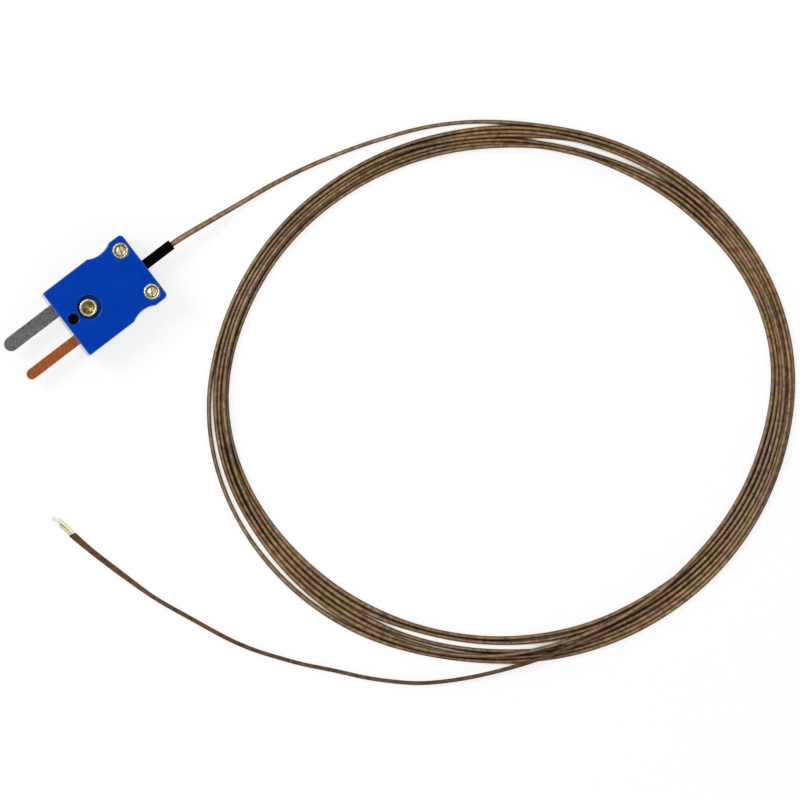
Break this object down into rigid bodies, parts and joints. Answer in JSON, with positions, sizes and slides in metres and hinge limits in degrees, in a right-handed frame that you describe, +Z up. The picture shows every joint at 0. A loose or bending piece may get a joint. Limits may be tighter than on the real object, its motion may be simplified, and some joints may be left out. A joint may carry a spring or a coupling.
{
  "type": "thermocouple probe",
  "caption": "Wire thermocouple probe: a miniature flat-pin plug, a thin cable lying in an oval coil, and a bare welded measuring tip.",
  "frame": {"origin": "centre of the plug's lower face, on the surface that the probe lies on", "axes": "+X from the pins to the cable along the plug, +Z up out of the face with the centre bush, +Y towards the wide pin"},
  "size_m": [0.1564, 0.1381, 0.008],
  "materials": {
    "blue_plastic": "glossy moulded blue plastic",
    "constantan": "dull grey flat metal, slightly mottled",
    "copper": "satin copper, slightly tarnished",
    "brass": "turned pale brass",
    "black_sleeve": "matt black sleeve",
    "brown_jacket": "thin translucent brown jacket with a soft gloss",
    "cream_insulation": "cream, slightly glossy",
    "gold_insulation": "gold over the copper wire, glossy"
  },
  "bodies": {
    "root": {"lower_shell": "blue_plastic", "upper_shell": "blue_plastic", "negative_pin": "constantan", "positive_pin": "copper", "centre_bush": "brass", "centre_screw": "brass", "negative_post": "brass", "positive_post": "brass", "negative_grub_screw": "brass", "positive_grub_screw": "brass", "crimp_ferrule": "brass", "cable_sleeve": "black_sleeve", "plug_negative_core": "cream_insulation", "plug_positive_core": "gold_insulation", "plug_negative_wire": "constantan", "plug_positive_wire": "copper", "cable_lead": "brown_jacket", "cable_coil": "brown_jacket", "cable_tail": "brown_jacket", "tip_negative_core": "cream_insulation", "tip_positive_core": "gold_insulation", "tip_negative_wire": "constantan", "tip_positive_wire": "copper", "junction_bead": "constantan"}
  },
  "joints": []
}
